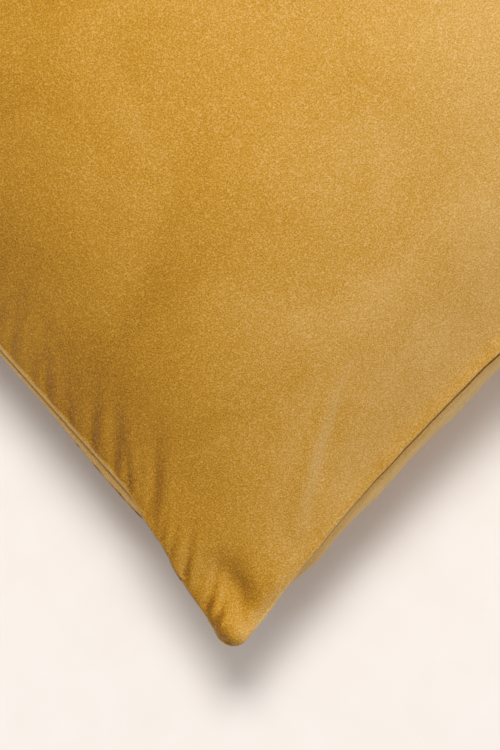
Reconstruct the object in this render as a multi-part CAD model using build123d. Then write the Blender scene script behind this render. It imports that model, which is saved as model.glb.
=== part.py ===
from build123d import *
import math
import os

# A square velvet throw pillow lying flat on its back panel: a zipped cover round a
# fibre-filled insert. X runs along the zip, which closes the -Y side; +Z is up, and the
# origin is under the middle of the pillow, on the surface that it rests on.
# All sizes are in millimetres.

# ---- outline of the filled cover, seen from above ----
corner_half = 222.0       # middle to the corner where two sides would meet unrounded
corner_radius = 9.0       # rounding of the four sewn corners
corner_turn = 13.5        # degrees that a side turns outwards as it reaches its corner
side_draw_in = 18.0       # how far the stuffing pulls a plain side's middle in
side_straight_half = 40.0  # half of the straight middle of a plain side
zip_draw_in = 16.5        # the same pull on the zip side, which the zip keeps straighter
draw_power = 3            # how much of the pull is taken up near the corners
inner_radius = 1.5        # least corner radius of the pieces inside the cover

# ---- crown ----
seam_height = 50.0        # the sewn edge above the surface
front_crown = 78.0        # top of the front panel above the sewn edge
rest_press = 6.0          # how far the back's free bulge is pressed flat where it rests
rim_height = 9.0          # upright stretch of each panel beside the seam
dome_power = 2.4          # how flat the crown's middle is
dome_edge = 0.75          # how steeply the crown falls to the seam
dome_reach = 0.985        # share of the half width at which the crown ends
surface_steps = 16        # measured places on a crown, from its middle to its edge
surface_margin = 2.0      # how far a crown's surface runs past its outline
surface_tolerance = 0.02

# ---- cloth ----
velvet = 1.2              # velvet with its pile
allowance = 12.0          # seam allowance turned in behind the seam
thread = 0.5              # sewing thread laid along a seam
thread_rise = 0.3         # how far a stitch stands off the cloth
overlock = 0.7            # overlock thread round a cut edge
seam_line = 0.4           # from the panel's skin to the closing seam's thread
label_width = 25.0
label_length = 10.5       # what shows of it past the seam
label_thickness = 0.4
label_place = 5.0         # from the middle of the -X side to the label

# ---- zip: n is measured inwards from the lips' outer face, w up from the seam ----
chain_half = 145.0        # half of the coil's length
coil_pitch = 2.0
coil_depth = 1.6
coil_width = 1.75
coil_core = 0.45          # share of the coil's width that its core cord takes
tape = 0.45
tape_end = 5.0            # tape past the end of the coil
tape_gap = 0.1            # between the tape and the velvet that it lies against
stitch_n = 7.0            # where the line that holds the tape to its allowance runs
stop_length = 2.0
end_room = 1.0            # from a stop or a tape's end to what it fits in
slide_gap = 0.4           # between the slider and what it passes
slider_length = 9.0
slider_plate = 1.0
slider_nose = 0.8         # chamfer of the slider's back plate
neck_half = 0.5           # half of the thickness of the slider's neck
neck_length = 3.2
neck_reach = 0.6          # how far the neck stands out of the slot before its eye
pull_length = 24.0
pull_width = 6.4
pull_root = 0.7           # width of the pull at its pin, as a share of its full width
pull_thickness = 1.0
pull_pin_radius = 0.6
pull_off = 1.4            # between the lips and the pull
eye_wall = 0.9            # metal round the hole in the slider's eye
fork_room = 2.4           # how far the pull's fork opens past the eye

# ---- insert ----
insert_clearance = 0.6    # from the overlocked allowance to the insert
insert_gap = 0.3          # between the crowns of the insert and the cover
casing = 0.6              # plain woven casing
casing_allowance = 6.0
filling_gap = 0.2
closing_length = 150.0    # hand-closed stretch that the insert was filled through

# ---- worked out from the above ----
back_crown = seam_height + rest_press
lip_y = zip_draw_in - corner_half
fold = 2 * velvet         # each lip is velvet folded double
allowance_inset = velvet + allowance
edge_inset = allowance_inset + overlock
insert_inset = edge_inset + insert_clearance
lip_gap_half = neck_half + slide_gap
coil_root = lip_gap_half + coil_width
slider_half = coil_root + slide_gap + slider_plate
chamber_half = slider_half + slide_gap + thread_rise + tape + tape_gap
tape_half = chain_half + tape_end
slot_half = chain_half + stop_length + end_room
chamber_half_length = tape_half + end_room
zip_straight_half = chamber_half_length + end_room
tape_n = fold + tape_gap
coil_n = tape_n + tape
plate_n = coil_n + coil_depth + slide_gap
eye_radius = pull_pin_radius + slide_gap
bridge_radius = eye_radius + eye_wall
pivot_n = -(pull_off + pull_thickness / 2)
slider_x = -(chain_half - slider_length / 2 - slide_gap)
tall = 2 * (front_crown + back_crown)

FRONT = 1
BACK = -1
LOW_Z = (Align.CENTER, Align.CENTER, Align.MIN)
LOW_CORNER = (Align.MIN, Align.MIN, Align.MIN)


def outline(inset):
    """The sewn outline moved in by inset: four drawn-in sides and four round corners."""
    half = corner_half - inset
    radius = max(corner_radius - inset, inner_radius)
    turn = math.radians(corner_turn)
    setback = radius / math.tan(math.radians(45) - turn)
    end_x = half - setback * math.cos(turn)
    end_y = half - setback * math.sin(turn)
    wires = []
    sides = [(zip_draw_in, zip_straight_half), (side_draw_in, side_straight_half)]
    for quarter in range(4):
        draw_in, straight = sides[min(quarter, 1)]
        side_y = draw_in - half
        away = (math.cos(turn), math.sin(turn))
        back = (math.cos(turn), -math.sin(turn))
        start = Spline((-end_x, -end_y), (-straight, side_y), tangents=[away, (1, 0)])
        middle = Line((-straight, side_y), (straight, side_y))
        end = Spline((straight, side_y), (end_x, -end_y), tangents=[(1, 0), back])
        corner = TangentArc((end_x, -end_y), (end_y, -end_x), tangent=back)
        wires += [Rot(0, 0, 90 * quarter) * edge for edge in (start, middle, end, corner)]
    return make_face(wires)


def prism(inset, low, high):
    """Upright block of the outline, from seam level plus low to seam level plus high."""
    return extrude(Pos(0, 0, seam_height + low) * outline(inset), amount=high - low)


def crown_share(u):
    """Height of the crown, from 1 in the middle to 0, at a share u of the half width."""
    inside = min(abs(u), 1.0) * dome_reach
    share = (1 - inside ** dome_power) ** dome_edge
    steep = dome_edge * dome_power * dome_reach ** dome_power
    steep *= (1 - dome_reach ** dome_power) ** (dome_edge - 1)
    return share - steep * max(abs(u) - 1.0, 0.0)


def drawn_width(place, inset):
    """Half width of the pillow at a distance from its middle line, moved in by inset."""
    taken = 1 - min(abs(place) / corner_half, 1) ** draw_power
    return corner_half - side_draw_in * taken - inset


def crown_height(x, y, inset, crown):
    """Height of a crown above the seam at (x, y), for an outline moved in by inset."""
    across = crown_share(x / drawn_width(y, inset))
    along = crown_share(y / drawn_width(x, inset))
    share = min(across, along) if min(across, along) < 0 else across * along
    return rim_height + (crown - rim_height) * share


def half_pillow(plan_inset, crown_inset, crown, side, start=0.0):
    """One half of the pillow, from start past the seam out to its crown."""
    reach = corner_half - plan_inset + surface_margin
    turns = [k / surface_steps for k in range(-surface_steps, surface_steps + 1)]
    steps = [reach * math.sin(math.pi / 2 * turn) for turn in turns]
    rows = []
    for x in steps:
        heights = [crown_height(x, y, plan_inset, crown) - crown_inset for y in steps]
        rows.append([(x, y, seam_height + side * h) for y, h in zip(steps, heights)])
    surface = Face.make_surface_from_array_of_points(rows, tol=surface_tolerance)
    under = extrude(surface, amount=tall, dir=(0, 0, -side))
    if side == FRONT:
        return prism(plan_inset, start, tall) & under
    block = prism(plan_inset, -tall, -start) & under
    floor = Pos(0, 0, crown_inset) * Box(tall * 4, tall * 4, tall, align=LOW_Z)
    return block & floor


def zip_box(x0, x1, n0, n1, w0, w1):
    """Block beside the zip, between two places along it, across it and up it."""
    size = Box(x1 - x0, n1 - n0, abs(w1 - w0), align=LOW_CORNER)
    return Pos(x0, lip_y + n0, seam_height + min(w0, w1)) * size


def zip_run(half, n0, n1, w0, w1):
    """Block that runs along the zip, the same length each way from its middle."""
    return zip_box(-half, half, n0, n1, w0, w1)


def ring(outer_inset, inner_inset, low, high):
    """A flat band that follows the outline between two insets."""
    return prism(outer_inset, low, high) - prism(inner_inset, low, high)


def panel(crown, side):
    """Velvet panel: crowned skin, turned-in allowance, and a folded lip along the zip."""
    skin = half_pillow(0, 0, crown, side)
    skin -= half_pillow(velvet, velvet, crown, side, start=velvet)
    skin -= prism(allowance_inset, min(0, side * velvet * 2), max(0, side * velvet * 2))
    inner_n = allowance_inset + 1
    skin -= zip_run(chamber_half_length, fold, inner_n, 0, side * chamber_half)
    skin -= zip_run(slot_half, -1, fold + 1, 0, side * lip_gap_half)
    skin += zip_run(slot_half, velvet / 2, fold, side * lip_gap_half, side * chamber_half)
    turned = side * (chamber_half + velvet)
    skin += zip_run(
        chamber_half_length, velvet / 2, allowance_inset, side * chamber_half, turned
    )
    return skin


def seam_thread(side):
    """Line of lockstitch thread on one face of the allowance, on the sewn stretches."""
    low, high = sorted((side * velvet, side * (velvet + thread_rise)))
    start = velvet + seam_line
    run = ring(start, start + thread, low, high)
    return run - zip_run(chamber_half_length + 1, -1, fold + 2, -chamber_half, chamber_half)


def plain_overlock():
    """Overlock thread round both allowances together, everywhere but along the zip."""
    run = ring(allowance_inset, edge_inset, -velvet, velvet)
    gap = chamber_half_length + 1
    return run - zip_run(gap, allowance_inset - 1, edge_inset + 1, -velvet, velvet)


def zip_overlock(side):
    """Overlock thread round one zip-side allowance."""
    low = side * (chamber_half - tape)
    return zip_run(tape_half, allowance_inset, edge_inset, low, side * (chamber_half + velvet))


def zip_tape(side):
    """Woven tape: upright behind the lip, then turned in under the allowance."""
    top = side * (chamber_half - tape_gap)
    upright = zip_run(tape_half, tape_n, tape_n + tape, side * lip_gap_half, top)
    turned = zip_run(tape_half, tape_n, allowance_inset, top - side * tape, top)
    return upright + turned


def zip_coil(side):
    """Coil as a comb: a core cord on the tape with a loop at each pitch."""
    root = side * coil_root
    core = side * (coil_root - coil_width * coil_core)
    tip = side * lip_gap_half
    shift = 0.0 if side == FRONT else coil_pitch / 2
    points = [(-chain_half, root), (-chain_half, core)]
    x = -chain_half + coil_pitch / 4 + shift
    while x + coil_pitch / 2 < chain_half:
        points += [(x, core), (x, tip), (x + coil_pitch / 2, tip), (x + coil_pitch / 2, core)]
        x += coil_pitch
    points += [(chain_half, core), (chain_half, root)]
    comb = make_face(Polyline(*points, close=True))
    upright = Plane(origin=(0, lip_y + coil_n, seam_height), x_dir=(1, 0, 0), z_dir=(0, -1, 0))
    return extrude(upright * comb, amount=-coil_depth)


def zip_stitching(side):
    """Stitching that holds a tape to its allowance, on the tape's face."""
    face = side * (chamber_half - tape_gap - tape)
    end_n = stitch_n + thread
    return zip_run(tape_half - 1, stitch_n, end_n, face, face - side * thread_rise)


def zip_top_stops():
    """A metal crimp on each tape, past the end where the slider rests when shut."""
    ends = (-chain_half - stop_length, -chain_half)
    crimps = [
        zip_box(*ends, coil_n, coil_n + coil_depth, side * lip_gap_half, side * coil_root)
        for side in (FRONT, BACK)
    ]
    return Compound(children=crimps)


def zip_bottom_stop():
    """One metal crimp across both tapes at the open end."""
    end = chain_half + stop_length
    return zip_box(chain_half, end, coil_n, coil_n + coil_depth, -coil_root, coil_root)


def zip_slider():
    """Slider: a channel behind the coils, a neck through the slot, and an eye outside."""
    front_x = slider_x - slider_length / 2
    rear_x = slider_x + slider_length / 2
    plate_end = plate_n + slider_plate
    body = zip_box(front_x, rear_x, plate_n, plate_end, -slider_half, slider_half)
    wall_n = coil_n + slide_gap
    for side in (FRONT, BACK):
        inner = side * (slider_half - slider_plate)
        body += zip_box(front_x, rear_x, wall_n, plate_end, inner, side * slider_half)
    body = chamfer(body.edges().filter_by(Axis.Z).group_by(Axis.Y)[-1], slider_nose)
    neck_x = slider_x - neck_length / 2
    neck_end = (plate_n + plate_end) / 2
    body += zip_box(
        neck_x, neck_x + neck_length, -neck_reach, neck_end, -neck_half, neck_half
    )
    pivot = Pos(slider_x, lip_y + pivot_n, seam_height)
    body += pivot * Cylinder(bridge_radius, 2 * neck_half)
    return body - pivot * Cylinder(eye_radius, 4 * neck_half)


def zip_pull():
    """Pull tab: a forked, rounded tab whose pin goes through the slider's eye."""
    narrow = pull_width * pull_root
    root = pull_pin_radius * 1.5
    window = bridge_radius + fork_room
    tab = Polyline(
        (-root, -narrow / 2),
        (pull_length - pull_width, -pull_width / 2),
        (pull_length - pull_width, pull_width / 2),
        (-root, narrow / 2),
        close=True,
    )
    shape = make_face(tab) + Pos(pull_length - pull_width, 0) * Circle(pull_width / 2)
    opening = Rectangle(window + 2 * root, 2 * (neck_half + slide_gap))
    shape -= Pos((window - 2 * root) / 2, 0) * opening
    plane = Plane(
        origin=(slider_x, lip_y + pivot_n, seam_height), x_dir=(1, 0, 0), z_dir=(0, -1, 0)
    )
    body = extrude(plane * shape, amount=pull_thickness / 2, both=True)
    pin_length = narrow - pull_pin_radius / 2
    pin = Pos(slider_x, lip_y + pivot_n, seam_height) * Cylinder(pull_pin_radius, pin_length)
    return body + pin


def care_label():
    """Blank satin label, caught in the -X side seam and lying on the allowance."""
    outer_x = side_draw_in - corner_half + velvet + seam_line + 2 * thread
    corner = (Align.MIN, Align.MAX, Align.MIN)
    size = Box(label_length, label_width, label_thickness, align=corner)
    return Pos(outer_x, -label_place, seam_height + velvet) * size


def casing_panel(crown, side):
    """One half of the insert's casing, with its own allowance turned in."""
    crown_inset = velvet + insert_gap
    shell = half_pillow(insert_inset, crown_inset, crown, side)
    inner = insert_inset + casing
    shell -= half_pillow(inner, crown_inset + casing, crown, side, start=casing)
    low, high = sorted((0, side * casing * 2))
    return shell - prism(inner + casing_allowance, low, high)


def insert_seam_thread():
    """Lockstitch of the insert's seam, on the front casing's allowance."""
    start = insert_inset + casing + seam_line
    return ring(start, start + thread, casing, casing + thread_rise)


def insert_closing_stitch():
    """Topstitching that shuts the +Y edge, where the filling went in."""
    run = ring(insert_inset - thread_rise, insert_inset, -thread, thread)
    where = Pos(0, corner_half, seam_height) * Box(closing_length, corner_half, 4 * thread)
    return run & where


def insert_filling():
    """Hollow-fibre core that fills the casing, grooved where the allowances turn in."""
    start = insert_inset + casing + filling_gap
    drop = velvet + insert_gap + casing + filling_gap
    core = half_pillow(start, drop, front_crown, FRONT)
    core += half_pillow(start, drop, back_crown, BACK)
    groove = casing + thread_rise + filling_gap
    root = insert_inset + casing + casing_allowance + filling_gap
    return core - ring(start - 1, root, -groove, groove)


parts = {
    "front_panel": panel(front_crown, FRONT),
    "back_panel": panel(back_crown, BACK),
    "seam_needle_thread": seam_thread(FRONT),
    "seam_bobbin_thread": seam_thread(BACK),
    "allowance_overlock": plain_overlock(),
    "zip_front_overlock": zip_overlock(FRONT),
    "zip_back_overlock": zip_overlock(BACK),
    "zip_tape_front": zip_tape(FRONT),
    "zip_tape_back": zip_tape(BACK),
    "zip_coil_front": zip_coil(FRONT),
    "zip_coil_back": zip_coil(BACK),
    "zip_stitching_front": zip_stitching(FRONT),
    "zip_stitching_back": zip_stitching(BACK),
    "zip_top_stops": zip_top_stops(),
    "zip_bottom_stop": zip_bottom_stop(),
    "zip_slider": zip_slider(),
    "zip_pull": zip_pull(),
    "care_label": care_label(),
    "insert_casing_front": casing_panel(front_crown, FRONT),
    "insert_casing_back": casing_panel(back_crown, BACK),
    "insert_seam_thread": insert_seam_thread(),
    "insert_closing_stitch": insert_closing_stitch(),
    "insert_filling": insert_filling(),
}

os.makedirs("parts", exist_ok=True)
for name, shape in parts.items():
    export_step(shape, f"parts/{name}.step")
    print(name, round(shape.volume), "mm3", len(shape.solids()), "solids")
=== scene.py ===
# %% [markdown]
# # A velvet throw pillow with a hidden zip
# The pillow is a square cover of golden velvet, closed by a zip along one side, round a soft
# filled insert. It lies on its back on a pale table. Every measure below is in millimetres and
# is turned to metres when a mesh is made.

# %% Load the fixed frame
import math

import bpy
import numpy as np
from mathutils import Matrix, Vector


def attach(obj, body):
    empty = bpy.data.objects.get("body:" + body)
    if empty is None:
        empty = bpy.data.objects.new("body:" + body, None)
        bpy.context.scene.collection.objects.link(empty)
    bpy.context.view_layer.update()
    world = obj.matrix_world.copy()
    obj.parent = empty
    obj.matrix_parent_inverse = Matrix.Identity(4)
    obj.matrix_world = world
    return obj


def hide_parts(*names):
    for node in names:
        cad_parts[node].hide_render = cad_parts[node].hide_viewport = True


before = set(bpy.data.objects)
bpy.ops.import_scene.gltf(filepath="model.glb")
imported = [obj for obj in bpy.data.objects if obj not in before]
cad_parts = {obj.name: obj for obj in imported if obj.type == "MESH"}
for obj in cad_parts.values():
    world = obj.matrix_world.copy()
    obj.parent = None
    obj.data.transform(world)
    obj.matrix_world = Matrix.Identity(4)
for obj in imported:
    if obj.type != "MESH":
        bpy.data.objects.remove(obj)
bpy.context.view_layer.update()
MM = 0.001

# %% [markdown]
# ## The seam line
# A filled cover pulls its sides in and leaves its corners standing out, so the seam is a square
# of four shallow curves joined by small round corners. It could be a plain square with bent
# edges, but everything else hangs from this line, the two panels, the turned-in allowances and
# the threads, so it is worked out once, with a direction outwards and one upwards at each point.

# %% Sizes of the seam
HALF = 222.0            # middle to an unrounded corner
CORNER_RADIUS = 9.0
CORNER_STEPS = 500      # how many of a side's points the corner arc is looked for in
SEAM_Z = 50.0
PLAIN_PULL = 18.0       # how far a plain side's middle is pulled in
ROLLED_PULL = 18.8      # the same on the side whose seam has rolled up
ZIP_PULL = 16.5
ZIP_STRAIGHT = 152.0    # the zip keeps this much of its side straight, each way from the middle
ALLOWANCE = 13.2        # from the seam to the cut edge of the turned-in cloth
CLOTH = 1.2
print("a square of", 2 * HALF, "mm, pulled in by", PLAIN_PULL, "mm on its plain sides")

# %% How far each side is pulled in

def smooth(x, low, high):
    t = np.clip((np.asarray(x, float) - low) / (high - low), 0, 1)
    return t * t * (3 - 2 * t)


def pulled_in(along, k):
    """How far side k stands in from the straight line between its corners."""
    if k:
        pull, power = (ROLLED_PULL, 2.3) if k == 1 else (PLAIN_PULL, 2.6)
        return pull * (1 - np.abs(along / HALF) ** power)
    s = np.clip((np.abs(along) - ZIP_STRAIGHT) / (HALF - ZIP_STRAIGHT), 0, 1)
    return ZIP_PULL * (1 - s * smooth(s, -0.1, 0.32))


print("each side's middle stands in by", [round(float(pulled_in(0.0, k)), 1) for k in range(4)])

# %% Trace the four sides and round the corners
SIDE_AXES = [((1, 0), (0, -1)), ((0, 1), (1, 0)), ((-1, 0), (0, 1)), ((0, -1), (-1, 0))]


def turned(v):
    """A direction turned a quarter clockwise: outwards from a path that runs anticlockwise."""
    return np.stack([v[..., 1], -v[..., 0]], -1)


def sharp_side(k):
    along = np.linspace(-HALF, HALF, 4441)
    ahead, out = (np.array(a, float) for a in SIDE_AXES[k])
    points = along[:, None] * ahead + (HALF - pulled_in(along, k))[:, None] * out
    step = np.gradient(points, axis=0)
    return points, turned(step / np.linalg.norm(step, axis=1, keepdims=True))


def round_corner(k):
    """Where side k and the next one leave the corner arc, and the arc's middle."""
    (a, na), (b, nb) = sharp_side(k), sharp_side((k + 1) % 4)
    end_a = (a - CORNER_RADIUS * na)[-CORNER_STEPS:]
    end_b = (b - CORNER_RADIUS * nb)[:CORNER_STEPS]
    gap = np.linalg.norm(end_a[:, None] - end_b[None], axis=2)
    i, j = np.unravel_index(gap.argmin(), gap.shape)
    return len(a) - CORNER_STEPS + i, j, (end_a[i] + end_b[j]) / 2


corners = [round_corner(k) for k in range(4)]


def arc(middle, start, end, count=60):
    a, b = (math.atan2(*(p - middle)[::-1]) for p in (start, end))
    b += 2 * math.pi if b < a else 0
    t = np.linspace(a, b, count)[:, None]
    return middle + CORNER_RADIUS * np.hstack([np.cos(t), np.sin(t)])


def side_path(k):
    """One side from corner tip to corner tip, with half an arc at each end."""
    points = sharp_side(k)[0]
    before, after = corners[k - 1], corners[k]
    a0 = arc(before[2], sharp_side((k - 1) % 4)[0][before[0]], points[before[1]])
    a1 = arc(after[2], points[after[0]], sharp_side((k + 1) % 4)[0][after[1]])
    return np.vstack([a0[30:-1], points[before[1]:after[0] + 1], a1[1:31]])


paths = [side_path(k) for k in range(4)]
print("points on each side:", [len(p) for p in paths])

# %% [markdown]
# ## How the seam sits
# Stuffing rolls a seam up or down as it is plumped. The +X seam has rolled up onto the top, so a
# strip of the back panel shows beyond it, and the others stay near the middle of the thickness.
# Along the zip the tapes keep it straight.

# %% Place the seam in space
ROLL_IN = 6.8           # how far the rolled seam stands in from the side
ROLL_UP = 19.0
ROLL_TILT = math.radians(28)
FAR_LIFT = 6            # how far the seam opposite the zip is raised at its middle
LIP_ENDS = (153, 184)   # the zip's lip turns into a plain seam between these, from the middle
PUFF = 5.8              # how far the front stands out past the zip's end
BELLY = 2.2             # the same for the back, beside the zip
NEST = 1.2              # how far the back gives way to the pull, past the zip's ends


def wave(s, seed, size, longest):
    """A soft irregular wave along a length, the same each time."""
    r = np.random.default_rng(seed)
    total = np.zeros_like(s)
    for k in range(5):
        phase = 2 * math.pi * s / (longest * 0.72**k) + r.uniform(0, 6.28)
        total += math.sin(k + 1.3) * np.sin(phase) * 0.8**k
    return size * total


def side_points(k, share):
    """Distances along side k and from its nearer tip, its level points and directions outwards."""
    path = paths[k]
    length = np.concatenate([[0], np.cumsum(np.linalg.norm(np.diff(path, axis=0), axis=1))])
    at = np.asarray(share) * length[-1]
    plan = np.stack([np.interp(at, length, path[:, c]) for c in (0, 1)], 1)
    ends = np.stack([np.interp(np.clip(at + d, 0, length[-1]), length, path[:, c])
                     for d in (-0.6, 0.6) for c in (0, 1)], 1)
    step = ends[:, 2:] - ends[:, :2]
    out = turned(step / np.linalg.norm(step, axis=1, keepdims=True))
    for end, low in ((0, True), (-1, False)):
        tip = np.array(share)[:, None] < 1e-9 if low else np.array(share)[:, None] > 1 - 1e-9
        corner = path[end] / np.linalg.norm(path[end])
        out = np.where(tip, corner, out)
    return at, np.minimum(at, length[-1] - at), plan, out


side_spans = [side_points(k, [0.0, 1.0])[0][1] for k in range(4)]
print("from tip to tip along each side:", np.round(side_spans, 1))

# %% Roll and shape the seam
def seam_side(k, share):
    """The seam at shares of side k's length: its points and directions, and how it is shaped there.

    zip is 1 along the zip's lip and 0 on a plain seam, away is the distance from the nearer tip,
    and roll, puff, belly and nest say how far the stuffing has pushed the cloth about.
    """
    at, away, plan, out = side_points(k, share)
    along = plan @ np.array(SIDE_AXES[k][0], float)
    far = np.abs(along)
    zipped = smooth(-far, -LIP_ENDS[1], -LIP_ENDS[0]) if k == 0 else np.zeros(len(at))
    free = smooth(away, 8, 45) * (1 - zipped)
    roll = np.zeros(len(at))
    if k == 1:
        roll = np.clip((away - 30) / 165, 0, 1) ** 0.75 * (1 - 0.35 * smooth(along, 40, 200))
    shift = -ROLL_IN * roll + wave(at, 11 + k, 0.15 if k == 1 else 0.35, 70) * free
    lift = ROLL_UP * roll + wave(at, 31 + k, 0.7 if k == 2 else 0.25, 150) * free * (k in (1, 2))
    if k == 2:
        lift += FAR_LIFT * smooth(away, 20, 180)
    tilt = ROLL_TILT * roll
    out3 = np.column_stack([out * np.cos(tilt)[:, None], np.sin(tilt)])
    up3 = np.column_stack([-out * np.sin(tilt)[:, None], np.cos(tilt)])
    place = np.column_stack([plan + out * shift[:, None], SEAM_Z + lift])
    level = np.column_stack([plan, np.full(len(at), SEAM_Z)])
    puff = PUFF * smooth(far, 116, 156) * (1 - 0.92 * smooth(far, 156, 202)) * (k == 0)
    belly = BELLY * smooth(far, 50, 120) * (1 - smooth(far, 128, 165)) * (k == 0)
    nest = NEST * smooth(far, 142, 156) * (1 - smooth(far, 163, 176)) * (k == 0)
    return {"place": place, "level": level, "out": out3, "up": up3, "zip": zipped, "away": away,
            "roll": roll, "puff": puff, "belly": belly, "nest": nest}


def whole_seam(nodes):
    """The seam all round, anticlockwise from the -X -Y corner, at each side's share nodes."""
    parts = [seam_side(k, nodes[:-1]) for k in range(4)]
    return {key: np.concatenate([p[key] for p in parts]) for key in parts[0]}


middles = [seam_side(k, [0.0, 0.5, 1.0])["place"][1] for k in range(4)]
print("height of the seam at the middle of each side:", [round(float(m[2]), 1) for m in middles])

# %% [markdown]
# ## The panels before the cloth is worked out
# Each panel starts as a grid stretched between the four seams and lifted into a crown. It could
# be left like that, but real velvet is cut flat and can't bend both ways without drawing up, so
# this shape is only the start for the cloth simulation.

# %% Where a panel begins and ends
FRONT, BACK = 1, -1
SIDE_MM = 440.0         # a seam's length, about
TOP_Z, BELOW_Z = 127.0, -6.5
START_BLEND, FINE_BLEND = 18.0, 6.0    # how far in from the seam an edge correction fades
EDGE = {FRONT: ((0.0, 2.0), (2.2, 7.0)), BACK: ((0.0, 2.0), (-1.3, 7.0))}   # plain, zip: in, up


def grid_edge(seam, side):
    """The panel's own edge: where its crown ends and its rolled fold begins."""
    plain, zipped = (np.array(e) for e in EDGE[side])
    inward, up = (plain + (zipped - plain) * seam["zip"][:, None]).T
    inward = inward - (seam["belly"] - seam["nest"] if side == BACK else seam["puff"])
    return seam["place"] - inward[:, None] * seam["out"] + side * up[:, None] * seam["up"]


def loop_of(grid):
    """A grid's edge as a loop that starts at its first corner."""
    return np.concatenate([grid[0, :-1], grid[:-1, -1], grid[-1, :0:-1], grid[:0:-1, 0]])


print("a panel rises to", TOP_Z, "and the other sinks to", BELOW_Z)

# %% Fill a loop with a crowned surface
def upright_ends(nodes):
    """Shares of the width seen from above: the cloth stands nearly upright beside its seams."""
    t = 2 * nodes - 1
    return (t + 0.075 * t * (1 - np.abs(t) ** 9) + 1) / 2


def four_sides(loop):
    """A loop's four sides, each with both of its ends, the last two turned to run along +X and +Y."""
    n = len(loop) // 4
    s = [np.take(loop, np.arange(k * n, (k + 1) * n + 1), axis=0, mode="wrap") for k in range(4)]
    return s[0], s[1], s[2][::-1], s[3][::-1]


def stretched(loop, nodes):
    """Fills a loop of four sides with a surface: rows run along v, columns along u."""
    s0, s1, s2, s3 = four_sides(loop)
    plan = upright_ends(nodes)
    a, b = plan[None, :, None], plan[:, None, None]
    across = (1 - b) * s0[None] + b * s2[None] + (1 - a) * s3[:, None] + a * s1[:, None]
    flat = (1 - a) * (1 - b) * s0[0] + a * (1 - b) * s0[-1] + (1 - a) * b * s2[0] + a * b * s2[-1]
    return across - flat


def dome(nodes):
    t = np.abs(2 * upright_ends(nodes) - 1) * 0.995
    share = (1 - t**2.4) ** 0.75
    return (share[None, :] * share[:, None]) ** 0.85


print("the crown halfway to a corner:", round(float(dome(np.array([0.25]))[0, 0]), 2), "of its height")

# %% Put both panels' edges on the seam
def fades(nodes, reach):
    fade = np.exp(-(nodes * SIDE_MM / reach) ** 2)
    return fade, fade[::-1]


def onto_edge(grid, loop, nodes, reach):
    """Moves the grid's edge onto loop, and fades the move out over reach millimetres."""
    g0, g1, g2, g3 = four_sides(loop - loop_of(grid))
    near, far = fades(nodes, reach)
    grid = grid + near[:, None, None] * g0[None] + far[:, None, None] * g2[None]
    return grid + near[None, :, None] * g3[:, None] + far[None, :, None] * g1[:, None]


def start_panels(nodes):
    """Both crowns over the unrolled outline, then slid round the rolled side and onto the seam."""
    seam = whole_seam(nodes)
    grids = {}
    for side in (FRONT, BACK):
        grids[side] = stretched(seam["level"], nodes)
        middle = grids[side][len(nodes) // 2, len(nodes) // 2, 2]
        grids[side][..., 2] += dome(nodes) * ((TOP_Z if side == FRONT else BELOW_Z) - middle)
    half = (len(nodes) - 1) // 2
    roll = ROLL_UP * 1.05 * seam_side(1, nodes)["roll"] / (SIDE_MM / 2)
    there = np.linspace(-1, 1, 2 * half + 1)
    share = np.linspace(0, 1, half + 1)
    for i in range(len(nodes)):
        round_side = np.concatenate([grids[BACK][i, half:], grids[FRONT][i, half:-1][::-1]])
        for side in (FRONT, BACK):
            at = -side * (-1 + (1 - side * roll[i]) * share)
            slid = [np.interp(at, there, round_side[:, c]) for c in range(3)]
            grids[side][i, half:] = np.stack(slid, 1)
    return {side: onto_edge(grids[side], grid_edge(seam, side), nodes, START_BLEND)
            for side in (FRONT, BACK)}


print("corrections fade over", START_BLEND, "mm")


# %% [markdown]
# ## Cloth simulation
# The two grids are joined into one closed bag. The sewn edge is pinned, the cloth's resting shape
# is nearly the flat cut, and air pressure stands for the filling, so the panels fill out, bulge
# past their seams and draw small folds where there is too much cloth. The answer is read back
# and the helper bag is removed, so no simulation is left on a piece.

# %% Helpers for grids and meshes
def grid_faces(rows, cols, start=0, flip=False):
    i, j = np.mgrid[0:rows - 1, 0:cols - 1]
    a = (start + i * cols + j).ravel()
    quads = np.stack([a, a + 1, a + cols + 1, a + cols], 1)
    return quads[:, ::-1] if flip else quads


def edge_indices(n):
    return loop_of(np.arange(n * n).reshape(n, n))


def strip_faces(loop_a, loop_b, flip=False):
    quads = np.stack([loop_a, loop_b, np.roll(loop_b, -1), np.roll(loop_a, -1)], 1)
    return quads[:, ::-1] if flip else quads


def make_piece(name, points, faces, material=None):
    """A smooth-shaded piece from points in millimetres; faces are a list or one array of quads."""
    mesh = bpy.data.meshes.new(name)
    faces = faces.tolist() if isinstance(faces, np.ndarray) else faces
    mesh.from_pydata((np.asarray(points) * MM).tolist(), [], faces)
    mesh.polygons.foreach_set("use_smooth", np.ones(len(mesh.polygons), bool))
    piece = bpy.data.objects.new(name, mesh)
    bpy.context.scene.collection.objects.link(piece)
    if material:
        mesh.materials.append(material)
    return piece


print("3 by 3 points:", len(grid_faces(3, 3)), "faces,", len(edge_indices(3)), "edge points")

# %% Settings of the cloth
SIM_CELLS = 84
SIM_FRAMES = 24
FLATNESS = 0.55         # 1 rests as the flat cut, 0 as the crowned start
CUT_HALF = 224.0        # half of the flat cut between its seams
CLOTH_SETTINGS = {
    "quality": 6, "mass": 0.25, "tension_stiffness": 22, "compression_stiffness": 22,
    "shear_stiffness": 6, "bending_stiffness": 0.6, "tension_damping": 12,
    "compression_damping": 12, "shear_damping": 8, "use_pressure": True,
    "uniform_pressure_force": 14.0,
}
print("cloth:", SIM_CELLS, "cells each way,", SIM_FRAMES, "frames")

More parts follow.
